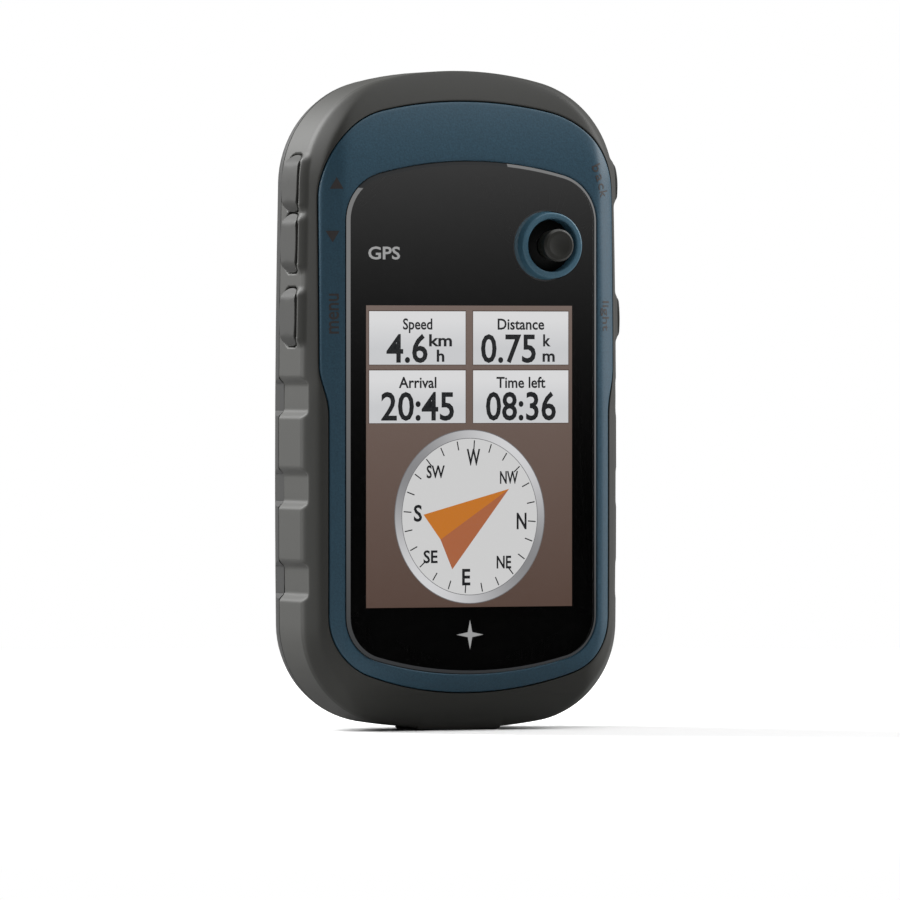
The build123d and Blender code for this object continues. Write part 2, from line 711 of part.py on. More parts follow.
def spring(x, bottom, height):
    turns = Helix(pitch=height / 3.0 - 0.1, height=height - 0.5, radius=3.0)
    wire = sweep(Plane(turns @ 0, z_dir=turns % 0) * Circle(0.22), turns, is_frenet=True)
    return Pos(x, LENS_Y + CELL_DEPTH, bottom + 0.25) * wire


def battery_springs():
    return Compound(children=[spring(-CELL_X, 16.9, 2.1), spring(CELL_X, 68.0, 2.1)])


def battery_contacts():
    """Bridge plate at the bottom and two end plates at the top."""
    bridge = box(-13.0, 13.0, BAY_BOTTOM, 16.9, 12.0, 21.5)
    bridge += Pos(CELL_X, LENS_Y + CELL_DEPTH, 17.2) * Cylinder(2.0, 0.6)
    left = box(-12.5, -2.4, 70.1, BAY_TOP, 12.0, 21.5)
    left += Pos(-CELL_X, LENS_Y + CELL_DEPTH, 69.8) * Cylinder(2.0, 0.6)
    right = box(2.4, 12.5, 70.1, BAY_TOP, 12.0, 21.5)
    return Compound(children=[bridge, left, right])


# ---- assembly -----------------------------------------------------------
PARTS = {
    "front_bezel": front_bezel(),
    "display_lens": display_lens(),
    "lens_gasket": lens_gasket(),
    "front_frame": front_frame(),
    "side_grip": side_grip(),
    "rear_case": rear_case(),
    "case_gasket": case_gasket(),
    "case_screws": screws(CASE_SCREWS, 21.0, 1.5, 0.8, 8.0),
    "joystick_ring": joystick_ring(),
    "joystick_boot": joystick_boot(),
    "joystick_base": joystick_base(),
    "joystick_gimbal": joystick_gimbal(),
    "joystick_sleeve": joystick_sleeve(),
    "joystick_stem": joystick_stem(),
    "joystick_cap": joystick_cap(),
    "lcd_panel": lcd_panel(),
    "lcd_backlight": lcd_backlight(),
    "lcd_flex": lcd_flex(),
    "lcd_connector": lcd_connector(),
    "main_board": main_board(),
    "board_screws": screws(BOARD_SCREWS, BOARD_BACK, 1.3, 0.7, 5.2),
    "key_switches": key_switches(),
    "gps_antenna": gps_antenna(),
    "rf_shield": rf_shield(),
    "usb_receptacle": usb_receptacle(),
    "sd_card_holder": sd_card_holder(),
    "sd_card": sd_card(),
    "beeper": beeper(),
    "backup_cell": backup_cell(),
    "aa_cell_left": aa_cell(-CELL_X, 19.0, True),
    "aa_cell_right": aa_cell(CELL_X, 17.5, False),
    "battery_springs": battery_springs(),
    "battery_contacts": battery_contacts(),
    "battery_cover": battery_cover(),
    "cover_gasket": cover_gasket(),
    "cover_lock": cover_lock(),
    "lock_cam": lock_cam(),
    "lock_seal": lock_seal(),
    "d_ring": d_ring(),
    "weather_cap": weather_cap(),
}
for key_name, (side, low, high) in KEYS.items():
    PARTS[key_name] = key(side, low, high)

os.makedirs("parts", exist_ok=True)
for name, shape in PARTS.items():
    export_step(shape, f"parts/{name}.step")
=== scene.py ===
import math

import bmesh
import bpy
import numpy as np
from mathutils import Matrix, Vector
from mathutils.bvhtree import BVHTree
from mathutils.kdtree import KDTree


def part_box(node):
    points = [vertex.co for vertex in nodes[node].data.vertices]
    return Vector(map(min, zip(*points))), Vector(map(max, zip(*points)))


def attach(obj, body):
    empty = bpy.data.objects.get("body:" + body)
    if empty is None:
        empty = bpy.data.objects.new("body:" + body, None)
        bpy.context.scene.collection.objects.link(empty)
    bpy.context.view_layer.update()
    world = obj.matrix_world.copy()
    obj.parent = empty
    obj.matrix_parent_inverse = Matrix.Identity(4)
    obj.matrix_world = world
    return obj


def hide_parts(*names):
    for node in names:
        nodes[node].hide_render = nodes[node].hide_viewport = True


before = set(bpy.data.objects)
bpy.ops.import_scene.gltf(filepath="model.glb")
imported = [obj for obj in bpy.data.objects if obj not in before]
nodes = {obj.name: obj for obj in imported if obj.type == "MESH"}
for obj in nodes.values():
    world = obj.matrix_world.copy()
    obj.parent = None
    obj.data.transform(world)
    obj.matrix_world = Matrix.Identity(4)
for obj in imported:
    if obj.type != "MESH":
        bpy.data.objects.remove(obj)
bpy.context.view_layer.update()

MM = 0.001
scene = bpy.context.scene


def span(node):
    """Lowest and highest corner of a CAD node, in millimetres."""
    low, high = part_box(node)
    return Vector(low) / MM, Vector(high) / MM


LENS_LOW, LENS_HIGH = span("display_lens")
LENS_Y = LENS_LOW.y
LENS_THICK = LENS_HIGH.y - LENS_LOW.y
LCD_Y = span("lcd_panel")[0].y
PART_LINE = span("case_gasket")[0].y - LENS_Y    # depth of the line where the rubber band ends
MIDDLE_Z = 52.0                                  # height from which outlines are measured
STEM_LOW, STEM_HIGH = span("joystick_stem")
STICK = (STEM_LOW + STEM_HIGH) / 2
KEY_NODES = ("zoom_in_key", "zoom_out_key", "menu_key", "back_key", "light_key")


# ---- building blocks for materials --------------------------------------
MIX_FIRST, MIX_SECOND, MIX_RESULT = 6, 7, 2      # colour sockets of a Mix node
GRAIN_DEPTH = 0.00003                            # metres


def linear(*rgb):
    """sRGB 0-255 to the linear values that shaders use."""
    out = []
    for value in rgb:
        v = value / 255
        out.append(v / 12.92 if v <= 0.04045 else ((v + 0.055) / 1.055) ** 2.4)
    return (*out, 1.0)


def blank(name):
    """New material with its node tree and its main shader."""
    material = bpy.data.materials.new(name)
    material.use_nodes = True
    material.cycles.emission_sampling = "NONE"
    tree = material.node_tree
    shader = tree.nodes["Principled BSDF"]
    return material, tree, shader


def lit(name):
    """Material that shows only the colour it gives off."""
    material, tree, shader = blank(name)
    shader.inputs["Base Color"].default_value = (0.01, 0.01, 0.01, 1)
    shader.inputs["Specular IOR Level"].default_value = 0.0
    shader.inputs["Emission Strength"].default_value = 1.0
    return material, tree, shader


def position(tree):
    """X, Y and Z of the shaded point, in metres."""
    place = tree.nodes.new("ShaderNodeTexCoord")
    split = tree.nodes.new("ShaderNodeSeparateXYZ")
    tree.links.new(place.outputs["Object"], split.inputs[0])
    return split.outputs


def maths(tree, kind, *values):
    """Result of a maths node; a value is a number or another node's output."""
    node = tree.nodes.new("ShaderNodeMath")
    node.operation = kind
    for socket, value in zip(node.inputs, values):
        if isinstance(value, (int, float)):
            socket.default_value = value
        else:
            tree.links.new(value, socket)
    return node.outputs[0]


def share_between(tree, value, low, high, least=0.0):
    """Grows from least to 1 as a value goes from low to high."""
    node = tree.nodes.new("ShaderNodeMapRange")
    node.inputs["From Min"].default_value = low
    node.inputs["From Max"].default_value = high
    node.inputs["To Min"].default_value = least
    tree.links.new(value, node.inputs["Value"])
    return node.outputs["Result"]


def tint(tree, target, share, first, second):
    """Gives a shader input a colour between two; share 0 is the first of them."""
    mix = tree.nodes.new("ShaderNodeMix")
    mix.data_type = "RGBA"
    mix.inputs[MIX_FIRST].default_value = first
    mix.inputs[MIX_SECOND].default_value = second
    tree.links.new(share, mix.inputs[0])
    tree.links.new(mix.outputs[MIX_RESULT], target)


def surface(
    name, colour, rough, speckle=0.0, grain=0.0, grain_scale=9000.0, metal=0.0, coat=0.0, specular=0.5
):
    """Procedural finish: base colour with fine speckle, and a fine grain in the normals."""
    material, tree, shader = blank(name)
    place = tree.nodes.new("ShaderNodeTexCoord")
    noise = tree.nodes.new("ShaderNodeTexNoise")
    noise.inputs["Scale"].default_value = grain_scale
    noise.inputs["Detail"].default_value = 2.0
    tree.links.new(place.outputs["Object"], noise.inputs["Vector"])
    darker = tuple(c * (1 - speckle) for c in colour[:3]) + (1,)
    lighter = tuple(c * (1 + speckle) for c in colour[:3]) + (1,)
    tint(tree, shader.inputs["Base Color"], noise.outputs["Fac"], darker, lighter)
    shader.inputs["Roughness"].default_value = rough
    shader.inputs["Metallic"].default_value = metal
    shader.inputs["Specular IOR Level"].default_value = specular
    shader.inputs["Coat Weight"].default_value = coat
    if grain:
        bump = tree.nodes.new("ShaderNodeBump")
        bump.inputs["Strength"].default_value = grain
        bump.inputs["Distance"].default_value = GRAIN_DEPTH
        tree.links.new(noise.outputs["Fac"], bump.inputs["Height"])
        tree.links.new(bump.outputs["Normal"], shader.inputs["Normal"])
    return material


def glow(name, colour):
    """Surface that glows in one plain colour: a picture element of the display, or painted light such as
    the lens edge's painted shade and the glowing marks behind the lens.
    """
    material, _, shader = lit(name)
    shader.inputs["Emission Color"].default_value = colour
    return material


def glow_fade(name, low_colour, high_colour, low_z, high_z):
    """Lit surface whose colour changes with height, given in millimetres."""
    material, tree, shader = lit(name)
    height = share_between(tree, position(tree)["Z"], low_z * MM, high_z * MM)
    tint(tree, shader.inputs["Emission Color"], height, low_colour, high_colour)
    return material


def glow_turned(name, dark, light, x, z, lean):
    """Lit ring like turned metal: light and dark alternate twice round its centre."""
    material, tree, shader = lit(name)
    point = position(tree)
    across = maths(tree, "SUBTRACT", point["X"], x * MM)
    up = maths(tree, "SUBTRACT", point["Z"], z * MM)
    bearing = maths(tree, "ARCTAN2", up, across)
    twice = maths(tree, "MULTIPLY_ADD", bearing, 2.0, -2 * lean)
    wave = maths(tree, "COSINE", twice)
    share = maths(tree, "MULTIPLY_ADD", wave, 0.5, 0.5)
    tint(tree, shader.inputs["Emission Color"], share, dark, light)
    return material


SHEEN = 0.040             # painted reflection on the lens at its upper edge: a faint glow, not a true gloss
SHEEN_LOW = 0.0005        # and at its lower edge
SHEEN_START = 4.0         # height above the lens's lower edge where it begins to grow
SHEEN_POWER = 4.0         # how steeply it grows
FRONT_FACE = 0.1          # depth that still counts as the front face of the lens


def clear_window(name):
    """Clear lens: see-through, with a painted reflection, a faint glow that grows toward its upper edge.
    """
    material, tree, _ = blank(name)
    point = position(tree)
    height = share_between(tree, point["Z"], (LENS_LOW.z + SHEEN_START) * MM, LENS_HIGH.z * MM)
    growth = maths(tree, "POWER", height, SHEEN_POWER)
    on_front = maths(tree, "LESS_THAN", point["Y"], (LENS_Y + FRONT_FACE) * MM)
    sheen = maths(tree, "MULTIPLY", growth, on_front)
    # painted reflection: a faint glow on the front face, growing toward the top
    painted_reflection = maths(tree, "MULTIPLY_ADD", sheen, SHEEN, SHEEN_LOW)
    clear = tree.nodes.new("ShaderNodeBsdfTransparent")
    pale = tree.nodes.new("ShaderNodeEmission")
    both = tree.nodes.new("ShaderNodeAddShader")
    tree.links.new(painted_reflection, pale.inputs["Strength"])
    tree.links.new(clear.outputs[0], both.inputs[0])
    tree.links.new(pale.outputs[0], both.inputs[1])
    tree.links.new(both.outputs[0], tree.nodes["Material Output"].inputs["Surface"])
    return material


# ---- colours and finishes: name, colour, roughness, speckle, grain, grain scale ----
RUBBER = surface("rubber_band", linear(47, 47, 44), 0.6, 0.06, 0.25, 9000, specular=0.35)
CASE = surface("case_plastic", linear(36, 36, 35), 0.55, 0.05, 0.35, 7000, specular=0.3)
KEY = surface("key_rubber", linear(42, 42, 40), 0.6, 0.05, 0.2, 9000, specular=0.26)
PAINT = surface("bezel_paint", linear(41, 70, 86), 0.46, 0.4, 0.35, 3600, specular=0.3)
RING_PAINT = surface("ring_paint", linear(60, 96, 114), 0.46, 0.3, 0.3, 3600, specular=0.4)
BLACK_FILM = surface("black_film", linear(6, 6, 6), 0.8, specular=0.0)
BLACK_RUBBER = surface("black_rubber", linear(14, 14, 13), 0.6, 0.05, 0.2, specular=0.15)
STICK_RUBBER = surface("stick_rubber", linear(27, 27, 23), 0.42, 0.05, 0.2, specular=0.4)
DARK_PLASTIC = surface("dark_plastic", linear(40, 40, 40), 0.5, 0.03, 0.2)
WHITE_PLASTIC = surface("white_plastic", linear(215, 215, 210), 0.45, 0.02)
STEEL = surface("steel", linear(190, 190, 190), 0.28, 0.04, 0.1, 5000, metal=1.0)
SCREW = surface("screw_steel", linear(150, 150, 152), 0.35, 0.04, 0.1, 5000, metal=1.0)
SEAL = surface("seal", linear(150, 62, 44), 0.5, 0.04)
BOARD = surface("board", linear(24, 92, 52), 0.35, 0.12, 0.1, 2500, coat=0.4)
CERAMIC = surface("ceramic", linear(206, 198, 172), 0.6, 0.05, 0.1)
FLEX = surface("flex_film", linear(196, 124, 40), 0.35, 0.04)
CELL = surface("cell_sleeve", linear(34, 34, 38), 0.3, 0.04, coat=0.5)
LEGEND = surface("legend_ink", linear(54, 50, 50), 0.6, 0.05, specular=0.3)
WINDOW = clear_window("clear_lens")
# painted light on the lens's sloped edge, both glowing: painted shade at its top, and a painted highlight
# that grows lighter upward
PAINTED_EDGE_SHADE = glow("painted_edge_shade", linear(44, 45, 46))
PAINTED_EDGE_HIGHLIGHT = glow_fade("lens_edge", linear(46, 48, 50), linear(118, 118, 118), 8, 66)
# printed marks that glow at a fixed grey: painted brightness in place of lamp light
MARK_INK = glow("mark_ink", linear(150, 150, 150))

FINISH = {
    "front_bezel": PAINT, "display_lens": WINDOW, "lens_gasket": BLACK_FILM, "front_frame": DARK_PLASTIC,
    "side_grip": RUBBER, "rear_case": CASE, "case_gasket": SEAL, "case_screws": SCREW,
    "joystick_ring": RING_PAINT, "joystick_boot": BLACK_RUBBER, "joystick_base": DARK_PLASTIC,
    "joystick_gimbal": WHITE_PLASTIC, "joystick_sleeve": DARK_PLASTIC, "joystick_stem": STEEL,
    "joystick_cap": STICK_RUBBER, "lcd_panel": BLACK_FILM, "lcd_backlight": WHITE_PLASTIC,
    "lcd_flex": FLEX, "lcd_connector": DARK_PLASTIC, "main_board": BOARD, "board_screws": SCREW,
    "key_switches": STEEL, "gps_antenna": CERAMIC, "rf_shield": STEEL, "usb_receptacle": STEEL,
    "sd_card_holder": STEEL, "sd_card": DARK_PLASTIC, "beeper": DARK_PLASTIC, "backup_cell": STEEL,
    "aa_cell_left": CELL, "aa_cell_right": CELL, "battery_springs": STEEL, "battery_contacts": STEEL,
    "battery_cover": CASE, "cover_gasket": SEAL, "cover_lock": DARK_PLASTIC, "lock_cam": STEEL,
    "lock_seal": SEAL, "d_ring": STEEL, "weather_cap": RUBBER,
}
FINISH.update({node: KEY for node in KEY_NODES})
for node_name, material in FINISH.items():
    nodes[node_name].data.materials.clear()
    nodes[node_name].data.materials.append(material)


# ---- edges of the CAD nodes ---------------------------------------------
SOFT_EDGES = {
    "rear_case": 0.2, "battery_cover": 0.2, "weather_cap": 0.25,
    "joystick_ring": 0.1, "joystick_cap": 0.15, "cover_lock": 0.1,
}
SHARP_ANGLE = math.radians(28)


def soften(node, width):
    """Rounds the sharp edges of a CAD node."""
    bevel = nodes[node].modifiers.new("soft_edges", "BEVEL")
    bevel.width = width * MM
    bevel.segments = 3
    bevel.limit_method = "ANGLE"
    bevel.angle_limit = SHARP_ANGLE
    bevel.harden_normals = False
    bevel.use_clamp_overlap = True


for node_name, edge_width in SOFT_EDGES.items():
    soften(node_name, edge_width)


# ---- small helpers for flat artwork -------------------------------------
def mesh_piece(name, vertices, faces, material, body="housing"):
    """New piece from points in millimetres, riding on a body."""
    data = bpy.data.meshes.new(name)
    data.from_pydata([Vector(v) * MM for v in vertices], [], faces)
    data.materials.append(material)
    piece = bpy.data.objects.new(name, data)
    scene.collection.objects.link(piece)
    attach(piece, body)
    return piece


def skin(name, node, keep, lift, material):
    """Thin layer over some of a CAD node's faces; keep(centre, normal) in millimetres chooses them."""
    source = nodes[node].data
    wanted = [p for p in source.polygons if keep(p.center / MM, p.normal)]
    normals = {}
    for polygon in wanted:
        for i in polygon.vertices:
            normals[i] = normals.get(i, Vector()) + polygon.normal
    order = {i: n for n, i in enumerate(normals)}
    points = [source.vertices[i].co / MM + normals[i].normalized() * lift for i in order]
    faces = [[order[i] for i in p.vertices] for p in wanted]
    mesh_piece(name, points, faces, material)


CAPITAL = 0.73            # capital height of the built-in font, as a share of its size
TILE = 0.02               # thickness of a tile


class Artwork:
    """Shapes with one Y for their front, gathered into one piece: tiles, single faces and lettering."""

    def __init__(self, front):
        self.front = front
        self.back = front + TILE
        self.vertices = []
        self.faces = []

    def outline(self, points):
        """Tile from an outline of (x, z) points running anticlockwise as seen from the front."""
        start = len(self.vertices)
        count = len(points)
        self.vertices += [(x, self.front, z) for x, z in points]
        self.vertices += [(x, self.back, z) for x, z in points]
        self.faces.append([start + i for i in range(count)])
        self.faces.append([start + count + i for i in reversed(range(count))])
        for i in range(count):
            j = (i + 1) % count
            self.faces.append([start + i, start + count + i, start + count + j, start + j])

    def flat(self, points):
        """Single face from an outline of (x, z) points."""
        start = len(self.vertices)
        self.vertices += [(x, self.front, z) for x, z in points]
        self.faces.append([start + i for i in range(len(points))])

    def ring(self, outer, inner):
        """Band between two outlines with the same number of points."""
        count = len(outer)
        for i in range(count):
            j = (i + 1) % count
            self.outline([outer[i], outer[j], inner[j], inner[i]])

    def write(self, text, x, z, height, width, turn=0.0, weight=0.012):
        """Lettering centred on x with its foot at z; capital height and width in millimetres."""
        curve = bpy.data.curves.new("words", "FONT")
        curve.body = text
        curve.resolution_u = 3
        curve.offset = weight
        holder = bpy.data.objects.new("words", curve)
        scene.collection.objects.link(holder)
        bpy.context.view_layer.update()
        drawn = holder.evaluated_get(bpy.context.evaluated_depsgraph_get())
        flat = bpy.data.meshes.new_from_object(drawn)
        bpy.data.objects.remove(holder)
        points = np.array([v.co for v in flat.vertices])
        low, high = points.min(0), points.max(0)
        grow_z = height / CAPITAL
        grow_x = width / (high[0] - low[0])
        middle = (low[0] + high[0]) / 2
        start = len(self.vertices)
        cos_t, sin_t = math.cos(turn), math.sin(turn)
        for px, pz, _ in points:
            dx, dz = (px - middle) * grow_x, pz * grow_z
            self.vertices.append((x + dx * cos_t - dz * sin_t, self.front, z + dx * sin_t + dz * cos_t))
        for polygon in flat.polygons:
            self.faces.append([start + i for i in polygon.vertices])
        bpy.data.meshes.remove(flat)

    def build(self, name, material, slot):
        """Makes the piece."""
        return mesh_piece(name, self.vertices, self.faces, material)


def rectangle(x0, x1, z0, z1):
    """Outline of a rectangle between two columns and two heights."""
    return [(x0, z0), (x1, z0), (x1, z1), (x0, z1)]


def oval(cx, cz, rx, rz, count=96):
    """Outline of an ellipse round a centre."""
    angles = [2 * math.pi * i / count for i in range(count)]
    return [(cx + rx * math.cos(a), cz + rz * math.sin(a)) for a in angles]


# ---- soft moulded forms -------------------------------------------------
OUTLINE_RAYS = 1440
OUTLINE_POINTS = 3000
FROM_INSIDE, FROM_OUTSIDE = 12.0, 60.0           # where the search for an edge starts
SEARCH_STEP = 0.5
HALVINGS = 10                                    # refinements of each edge point
OUTLINE_RELAX, INNER_RELAX = 12, 6               # neighbours that even out an outline's facets


def tree_of(node):
    """Search tree of a node's faces, in millimetres."""
    data = nodes[node].data
    points = [v.co / MM for v in data.vertices]
    return BVHTree.FromPolygons(points, [tuple(p.vertices) for p in data.polygons])


def resample(loop, count):
    """Closed outline with evenly spaced points."""
    closed = np.vstack([loop, loop[:1]])
    along = np.concatenate([[0], np.cumsum(np.hypot(*np.diff(closed, axis=0).T))])
    places = np.linspace(0, along[-1], count, endpoint=False)
    return np.column_stack([np.interp(places, along, closed[:, k]) for k in (0, 1)])


def relax(loop, reach):
    """Evens out the facets of an outline over a number of neighbouring points."""
    kernel = np.hanning(2 * reach + 3)[1:-1]
    kernel /= kernel.sum()
    wrapped = np.vstack([loop[-reach:], loop, loop[:reach]])
    return np.column_stack([np.convolve(wrapped[:, k], kernel, "valid") for k in (0, 1)])


def shadow_outline(node, opening):
    """Edge of a node seen from the front, clockwise from the top; opening asks for its central hole."""
    tree = tree_of(node)
    ahead = Vector((0, 1, 0))
    step = SEARCH_STEP if opening else -SEARCH_STEP

    def covered(reach, way):
        start = Vector((way[0] * reach, LENS_Y - 10, MIDDLE_Z + way[1] * reach))
        return tree.ray_cast(start, ahead)[0] is not None

    points = []
    for i in range(OUTLINE_RAYS):
        angle = 2 * math.pi * i / OUTLINE_RAYS
        way = (math.sin(angle), math.cos(angle))
        reach = FROM_INSIDE if opening else FROM_OUTSIDE
        while not covered(reach, way):
            reach += step
        clear, solid = reach - step, reach
        for _ in range(HALVINGS):
            middle = (clear + solid) / 2
            if covered(middle, way):
                solid = middle
            else:
                clear = middle
        points.append((way[0] * clear, MIDDLE_Z + way[1] * clear))
    return relax(resample(np.array(points), OUTLINE_POINTS), OUTLINE_RELAX)


def outward_normals(loop):
    """Unit vectors that point out of an outline, one for each point."""
    along = np.roll(loop, -1, axis=0) - np.roll(loop, 1, axis=0)
    along /= np.hypot(*along.T)[:, None]
    return np.column_stack([-along[:, 1], along[:, 0]])


def finder(loop):
    """Search tree of an outline's points."""
    tree = KDTree(len(loop))
    for i, (x, z) in enumerate(loop):
        tree.insert((x, z, 0), i)
    tree.balance()
    return tree


def nearest(tree, points):
    """Index of the closest outline point, and the distance to it, for each point."""
    found = [tree.find((x, z, 0)) for x, z in points]
    return np.array([f[1] for f in found]), np.array([f[2] for f in found])


def soft_max(a, b, blend):
    """The larger of two values, rounded where they cross."""
    return (a + b + np.sqrt((a - b) ** 2 + blend**2)) / 2


def soft_step(value, start, end):
    """Grows smoothly from 0 to 1 as a value goes from start to end."""
    t = np.clip((value - start) / (end - start), 0, 1)
    return t * t * (3 - 2 * t)


AROUND = 1200             # points in each row of the soft bezel and grip
GASKET_INSET = 2.2        # the case gasket runs this far inside the body
BODY = shadow_outline("case_gasket", False)
BODY = BODY + outward_normals(BODY) * GASKET_INSET
BODY_TREE = finder(BODY)
BEZEL = shadow_outline("front_bezel", False)
OPENING = shadow_outline("front_bezel", True)

BROW_TOP, BROW_RADIUS, BROW_REACH = 83.0, 40.0, 25.0  # above this height the front curves back
CHIN_TOP, CHIN_RADIUS, CHIN_REACH = 13.0, 12.0, 7.4   # and below this one
TOE_TOP, TOE_SLOPE, TOE_REACH = 5.6, 0.52, 8.0        # here it slopes back even more
FLAT = 0.15                                      # depth of the flat part behind the lens face
SKIM = 0.03                                      # lifts the soft front a hair toward the viewer
RIM_SLOPES = ((5.5, 4.5), (4.95, 1.6), (3.1, 0.62))  # depth at the outline, and fall per mm inward
STEEP_BLEND, SHALLOW_BLEND, FLAT_BLEND = 0.3, 0.4, 0.35  # rounding from one slope to the next
BROW_BLEND = 0.5


def brow(z):
    """Depth of the front seen from the side: flat, curving back toward the top and the chin."""
    rise = np.clip(z - BROW_TOP, 0, BROW_REACH)
    drop = np.clip(CHIN_TOP - z, 0, CHIN_REACH)
    toe = np.clip(TOE_TOP - z, 0, TOE_REACH) * TOE_SLOPE
    over = BROW_RADIUS - np.sqrt(BROW_RADIUS**2 - rise**2)
    under = CHIN_RADIUS - np.sqrt(CHIN_RADIUS**2 - drop**2)
    return FLAT + over + under + toe


def rim(inset):
    """Depth of the front at a distance inside the outline of the body: three slopes, ever flatter."""
    steep, middle, shallow = (depth - fall * inset for depth, fall in RIM_SLOPES)
    slope = soft_max(soft_max(steep, middle, STEEP_BLEND), shallow, SHALLOW_BLEND)
    return soft_max(slope, FLAT, FLAT_BLEND)


def front_depth(points, inset=None):
    """Depth of the front at each point; the inset from the body's outline is found if not given."""
    if inset is None:
        inset = nearest(BODY_TREE, points)[1]
    return soft_max(rim(inset), brow(points[:, 1]), BROW_BLEND) - SKIM


def strips(row_count, count, closed):
    """Faces between matching points of neighbouring rows; closed joins the last row to the first."""
    faces = []
    for row in range(row_count if closed else row_count - 1):
        a, b = row * count, (row + 1) % row_count * count
        for i in range(count):
            j = (i + 1) % count
            faces.append((a + i, a + j, b + j, b + i))
    return faces


def wrap_mesh(name, rows, material, replaced):
    """Closed tube from rows of matching points, standing for a CAD node."""
    piece = mesh_piece(name, np.vstack(rows), strips(len(rows), AROUND, True), material)
    smooth(piece)
    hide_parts(replaced)


def smooth(piece):
    """Smooth shading, with the outside facing out."""
    data = piece.data
    shape = bmesh.new()
    shape.from_mesh(data)
    bmesh.ops.recalc_face_normals(shape, faces=shape.faces)
    shape.to_mesh(data)
    shape.free()
    data.polygons.foreach_set("use_smooth", [True] * len(data.polygons))
    data.update()


def placed(outline, depth):
    """Outline points with their depth, as X, Y, Z."""
    depth = np.broadcast_to(depth, (len(outline),))
    return np.column_stack([outline[:, 0], LENS_Y + depth, outline[:, 1]])


def inner_edge(outline, outer):
    """Point of an inner outline that faces each point of the outer one."""
    return relax(outline[nearest(finder(outline), outer)[0]], INNER_RELAX)


def directions(start, end):
    """Unit vectors from one outline to another, and the distances."""
    toward = end - start
    length = np.hypot(*toward.T)[:, None]
    return toward / length, length


LIP = 0.2                 # radius of the rounded edges
LIP_STEPS = np.linspace(0, math.pi / 2, 5)
BEZEL_GAP = 0.1           # the painted bezel stays this far inside its CAD outline
BEZEL_THICK = 1.1
BEZEL_ROWS = 26


def soft_bezel():
    """Painted bezel: one smooth crowned band between the lens and the rubber."""
    outer = resample(BEZEL, AROUND)
    start = outer - outward_normals(outer) * BEZEL_GAP
    toward, length = directions(start, inner_edge(OPENING, outer))

    def at(reach, sink):
        ring = start + toward * reach
        return placed(ring, front_depth(ring) + sink)

    rows = [at(0.0, BEZEL_THICK)]
    for a in LIP_STEPS:
        rows.append(at(LIP * (1 - math.cos(a)), LIP * (1 - math.sin(a))))
    for share in np.linspace(0, 1, BEZEL_ROWS)[1:-1]:
        rows.append(at(LIP + (length - 2 * LIP) * share, 0.0))
    for a in LIP_STEPS[::-1]:
        rows.append(at(length - LIP * (1 - math.cos(a)), LIP * (1 - math.sin(a))))
    rows.append(at(length, BEZEL_THICK))
    wrap_mesh("bezel_shell", rows, PAINT, "front_bezel")


SIDE_X = 20.0                        # beyond this the outline counts as the side wall
GROOVES = (52.0, 37.9, 23.5)         # heights of the grip grooves
GROOVE_DEEP = 0.95
GROOVE_FLAT, GROOVE_WIDE = 1.9, 3.3  # half the width of a groove's floor, and of its mouth
GROOVE_START, GROOVE_FULL = 3.1, 4.6     # depths at which a groove begins and is full
SLOT_DEEP = 1.6                      # recess round a key
SLOT_ROUND = 2.2                     # its corner radius
SLOT_WALL = (0.02, 0.2)              # distance from the key at which its wall begins and ends
CUT_BLEND = 0.12                     # rounding where a cut meets the rim
PLINTH = 0.6                         # swelling of the rubber in front of a key
PLINTH_START, PLINTH_FULL = 1.9, 0.1     # distances in front of the key where it begins and is full
PLINTH_END = 1.5                     # distance behind the key's front edge where it ends
PLINTH_IN, PLINTH_OUT = 1.2, 0.3     # it fades out from inside the key's ends to outside them
FOOT_HALF = 7.2                      # half the width of the flat foot
FOOT_EDGE, FOOT_TOP = 0.3, 3.0       # width of its edge, and height up to which it may reach
FOOT_START, FOOT_FULL = 4.4, 6.5     # depths at which the foot begins and is full


def key_space(node):
    """Side, low, high and depth range of a key's pad."""
    low, high = span(node)
    side = 1 if high.x > 0 else -1
    return side, low.z, high.z, low.y - LENS_Y, high.y - LENS_Y


def side_form(points, depth):
    """How far the side wall is cut back at each point by grooves and key recesses, and how far raised."""
    z = points[:, 1]
    cut = np.zeros(len(points))
    raised = np.zeros(len(points))
    on_side = np.abs(points[:, 0]) > SIDE_X
    for centre in GROOVES:
        across = 1 - soft_step(np.abs(z - centre), GROOVE_FLAT, GROOVE_WIDE)
        cut = np.maximum(cut, GROOVE_DEEP * across * soft_step(depth, GROOVE_START, GROOVE_FULL))
    for node in KEY_NODES:
        side, low, high, front, back = key_space(node)
        here = on_side & (points[:, 0] * side > 0)
        middle, half = (low + high) / 2, (high - low) / 2
        mid_depth, half_depth = (front + back) / 2, (back - front) / 2
        dz = np.maximum(np.abs(z - middle) - half + SLOT_ROUND, 0)
        dy = np.maximum(np.abs(depth - mid_depth) - half_depth + SLOT_ROUND, 0)
        away = np.hypot(dz, dy) - SLOT_ROUND
        recess = SLOT_DEEP * (1 - soft_step(away, *SLOT_WALL))
        cut = np.maximum(cut, np.where(here, recess, 0))
        ahead = soft_step(depth, front - PLINTH_START, front - PLINTH_FULL)
        ahead *= 1 - soft_step(depth, front, front + PLINTH_END)
        ends = 1 - soft_step(np.abs(z - middle), half - PLINTH_IN, half + PLINTH_OUT)
        raised = np.maximum(raised, np.where(here & (away > 0.0), PLINTH * ahead * ends, 0))
    return np.where(on_side, cut, 0), raised


def cut_row(ring, away, depth, inset):
    """Row of the outer surface, moved where the side is cut back or raised, and at the foot."""
    cut, raised = side_form(ring, depth)
    blend = np.minimum(CUT_BLEND, cut)
    extra = np.maximum(soft_max(cut, inset, blend) - inset, 0) * (cut > 0)
    raised = np.where(cut > 0.01, 0, raised)
    moved = ring + away * (raised - extra)[:, None]
    under = 1 - soft_step(np.abs(ring[:, 0]), FOOT_HALF - FOOT_EDGE, FOOT_HALF)
    under *= ring[:, 1] < FOOT_TOP
    moved[:, 1] -= ring[:, 1] * under * soft_step(depth, FOOT_START, FOOT_FULL)
    return placed(moved, depth)


